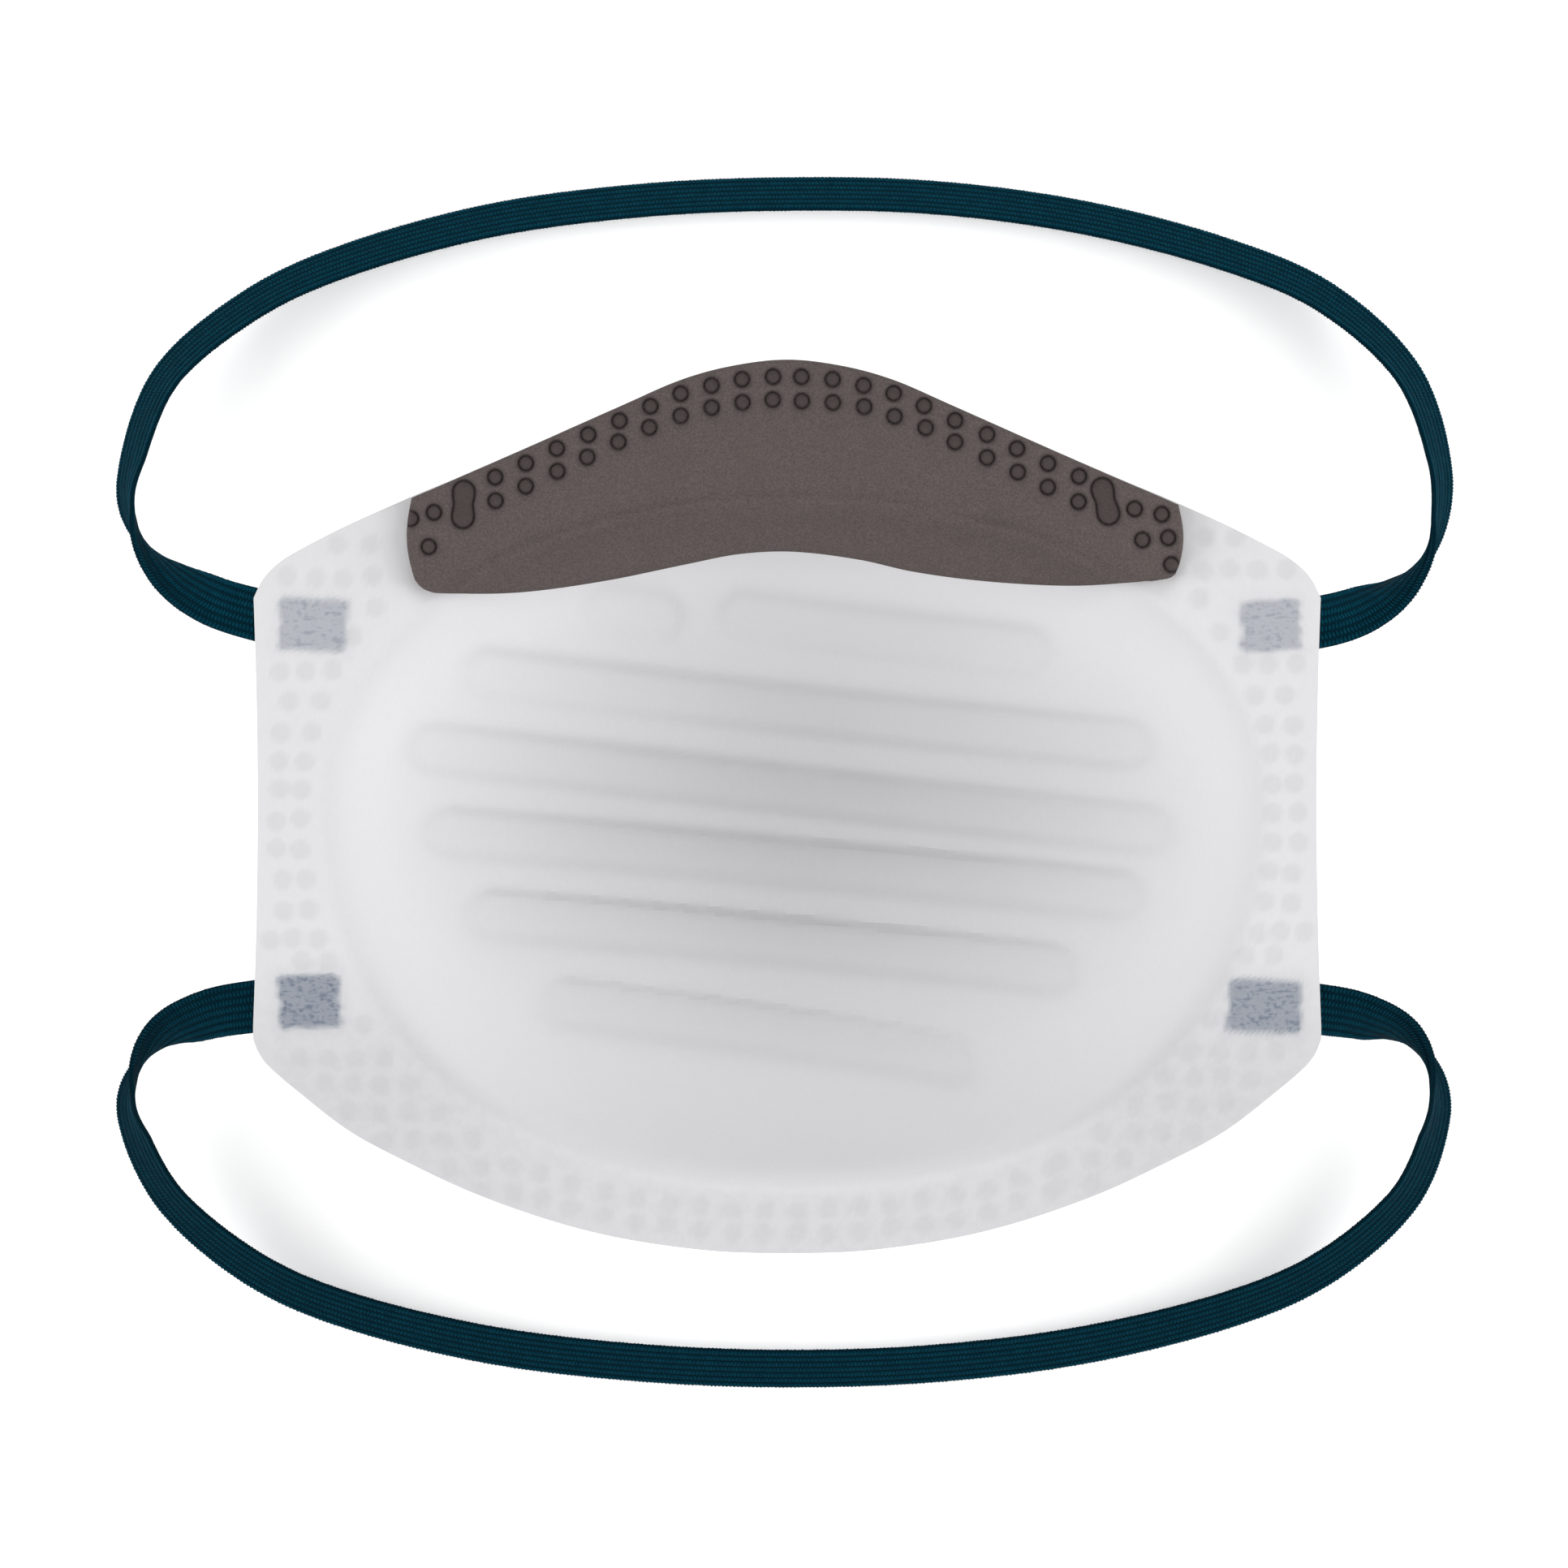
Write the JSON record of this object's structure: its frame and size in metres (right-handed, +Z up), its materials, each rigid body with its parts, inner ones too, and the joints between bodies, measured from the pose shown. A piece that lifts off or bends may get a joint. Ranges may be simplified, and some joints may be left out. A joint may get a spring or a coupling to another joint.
{
  "type": "respirator mask",
  "caption": "Moulded cup respirator with a flat welded flange, slanting ribs, a foam nose strip, a nose clip and elastic head straps, lying dome down.",
  "frame": {"origin": "on the surface that the mask lies on, under the middle of its box", "axes": "+Z up, from the dome towards the wearer's face; +Y towards the nose; +X to the right of someone who looks into the cup"},
  "size_m": [0.1752, 0.1616, 0.048],
  "materials": {
    "filter_shell": "matt pressed non-woven",
    "nose_foam": "fine matt foam",
    "nose_clip": "plain rolled",
    "upper_strap": "knitted elastic",
    "lower_strap": "knitted elastic"
  },
  "bodies": {
    "root": {"filter_shell": "filter_shell", "nose_foam": "nose_foam", "nose_clip": "nose_clip", "upper_strap": "upper_strap", "lower_strap": "lower_strap"}
  },
  "joints": []
}
